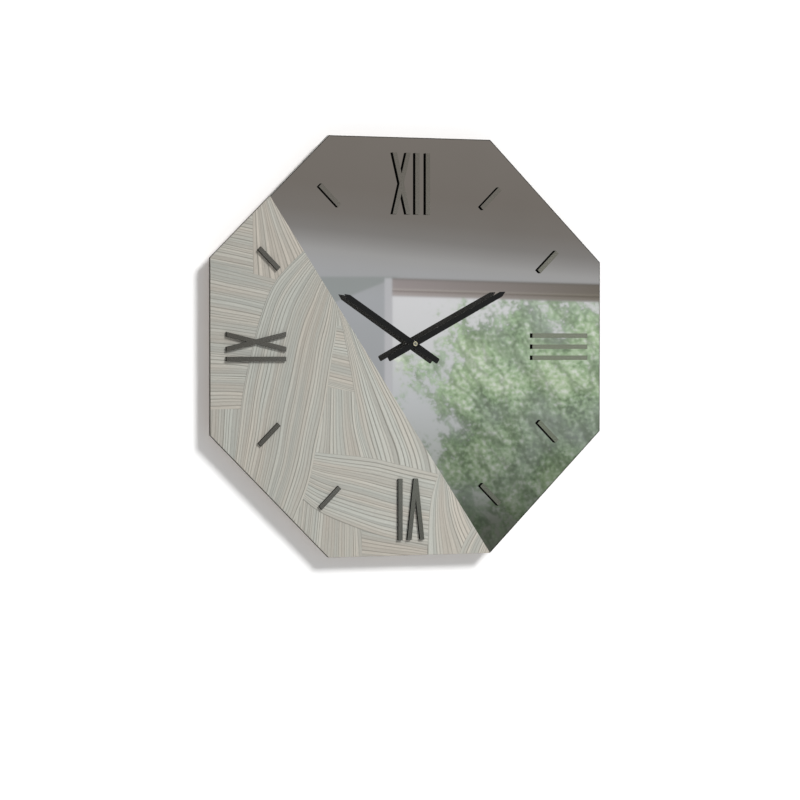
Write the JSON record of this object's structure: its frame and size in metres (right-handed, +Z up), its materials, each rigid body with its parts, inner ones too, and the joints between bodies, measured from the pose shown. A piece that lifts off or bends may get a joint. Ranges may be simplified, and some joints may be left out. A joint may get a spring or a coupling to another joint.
{
  "type": "octagonal wall clock",
  "caption": "Octagonal wall clock with a mirror and combed-wood face, raised Roman numerals, slanted hour bars, baton hands and a battery quartz movement on a stand-off frame.",
  "frame": {"origin": "where the nail carries the keyhole hanger, in the plane of the wall", "axes": "+Y into the wall, +Z up, +X to the right of a viewer who faces the dial"},
  "size_m": [0.5, 0.0406, 0.5],
  "materials": {
    "mirror": "polished",
    "bleached_wood": "combed and bleached, dull",
    "fibreboard": "dull",
    "mark_plastic": "satin",
    "hand_sheet": "black satin lacquer",
    "brass": "turned",
    "softwood": "planed",
    "zinc_steel": "zinc plated",
    "rubber": "dull",
    "case_plastic": "fine grain",
    "black_steel": "blackened",
    "steel": "ground",
    "acetal": "moulded",
    "magnet": "sintered",
    "copper_wire": "enamelled copper wire",
    "circuit_laminate": "lacquered",
    "epoxy": "poured",
    "plated_tin": "bright",
    "cell_sleeve": "printed sleeve, plain"
  },
  "bodies": {
    "clock": {"mirror_panel": "mirror", "wood_panel": "bleached_wood", "base_board": "fibreboard", "numeral_xii": "mark_plastic", "numeral_iii": "mark_plastic", "numeral_vi": "mark_plastic", "numeral_ix": "mark_plastic", "hour_ticks": "mark_plastic", "rail_top": "softwood", "rail_bottom": "softwood", "stile_left": "softwood", "stile_right": "softwood", "hanger_plate": "zinc_steel", "hanger_screws": "zinc_steel", "wall_bumpers": "rubber", "movement_case": "case_plastic", "threaded_bush": "brass", "rubber_gasket": "rubber", "bush_nut": "black_steel", "face_washer": "black_steel", "mid_plate": "acetal", "train_bridge": "acetal", "stator": "steel", "coil_core": "steel", "coil_bobbin": "acetal", "coil_winding": "copper_wire", "circuit_board": "circuit_laminate", "chip_cover": "epoxy", "quartz_crystal": "plated_tin", "contact_plus": "plated_tin", "contact_minus": "plated_tin", "battery": "cell_sleeve", "back_cover": "case_plastic"},
    "minute_hand": {"minute_hand": "hand_sheet", "minute_nut": "brass", "minute_arbor": "steel", "centre_wheel": "brass"},
    "hour_hand": {"hour_hand": "hand_sheet", "hour_wheel": "acetal"},
    "minute_wheel": {"minute_wheel": "acetal"},
    "setting_stem": {"setting_gear": "acetal", "setting_knob": "case_plastic"},
    "third_wheel": {"third_wheel": "acetal"},
    "seconds_wheel": {"seconds_wheel": "acetal"},
    "step_wheel": {"step_wheel": "acetal"},
    "rotor": {"rotor": "magnet"}
  },
  "joints": [
    {"name": "minute_turn", "type": "hinge", "parent": "clock", "child": "minute_hand", "pos_m": [0, 0, -0.1375], "axis": [0, 1, 0], "continuous": true},
    {"name": "hour_turn", "type": "hinge", "parent": "clock", "child": "hour_hand", "pos_m": [0, 0, -0.1375], "axis": [0, 1, 0], "continuous": true},
    {"name": "minute_wheel_turn", "type": "hinge", "parent": "clock", "child": "minute_wheel", "pos_m": [0.0042, 0, -0.13023], "axis": [0, 1, 0], "continuous": true},
    {"name": "setting_turn", "type": "hinge", "parent": "clock", "child": "setting_stem", "pos_m": [0.0042, 0, -0.12183], "axis": [0, 1, 0], "continuous": true},
    {"name": "third_turn", "type": "hinge", "parent": "clock", "child": "third_wheel", "pos_m": [-0.00713, 0, -0.13037], "axis": [0, 1, 0], "continuous": true},
    {"name": "seconds_turn", "type": "hinge", "parent": "clock", "child": "seconds_wheel", "pos_m": [0, 0, -0.1375], "axis": [0, 1, 0], "continuous": true},
    {"name": "step_turn", "type": "hinge", "parent": "clock", "child": "step_wheel", "pos_m": [0.00947, 0, -0.13405], "axis": [0, 1, 0], "continuous": true},
    {"name": "rotor_turn", "type": "hinge", "parent": "clock", "child": "rotor", "pos_m": [0.01289, 0, -0.12998], "axis": [0, 1, 0], "continuous": true}
  ],
  "couplings": [
    {"joint": "hour_turn", "follows": "minute_turn", "ratio": 0.083333},
    {"joint": "minute_wheel_turn", "follows": "minute_turn", "ratio": -0.33333},
    {"joint": "setting_turn", "follows": "minute_turn", "ratio": 1},
    {"joint": "third_turn", "follows": "minute_turn", "ratio": -8},
    {"joint": "seconds_turn", "follows": "minute_turn", "ratio": 60},
    {"joint": "step_turn", "follows": "minute_turn", "ratio": -480},
    {"joint": "rotor_turn", "follows": "minute_turn", "ratio": 1800}
  ]
}
